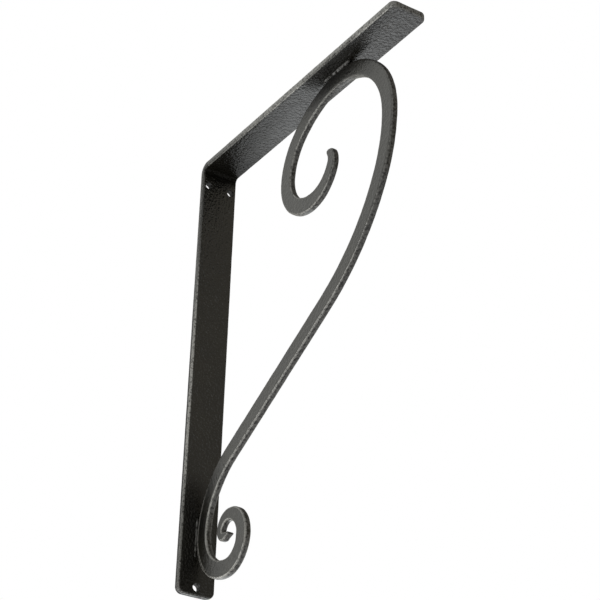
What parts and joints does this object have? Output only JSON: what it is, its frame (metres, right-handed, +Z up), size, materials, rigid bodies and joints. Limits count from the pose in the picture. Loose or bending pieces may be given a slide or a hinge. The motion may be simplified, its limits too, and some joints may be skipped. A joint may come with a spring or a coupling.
{
  "type": "shelf bracket",
  "caption": "Wrought iron shelf bracket: a flat bar folded into an angle, braced by an S-shaped scroll and coated dark grey.",
  "frame": {"origin": "on the wall face, midway between the two upper screw holes", "axes": "+X out from the wall along the shelf arm, +Z up, Y across the bar"},
  "size_m": [0.33, 0.038, 0.455],
  "materials": {
    "coated_iron": "semi-gloss hammered coat",
    "coated_weld": "semi-gloss coat over weld beads"
  },
  "bodies": {
    "root": {"angle_bar": "coated_iron", "scroll_bar": "coated_iron", "shelf_weld": "coated_weld", "wall_weld": "coated_weld"}
  },
  "joints": []
}
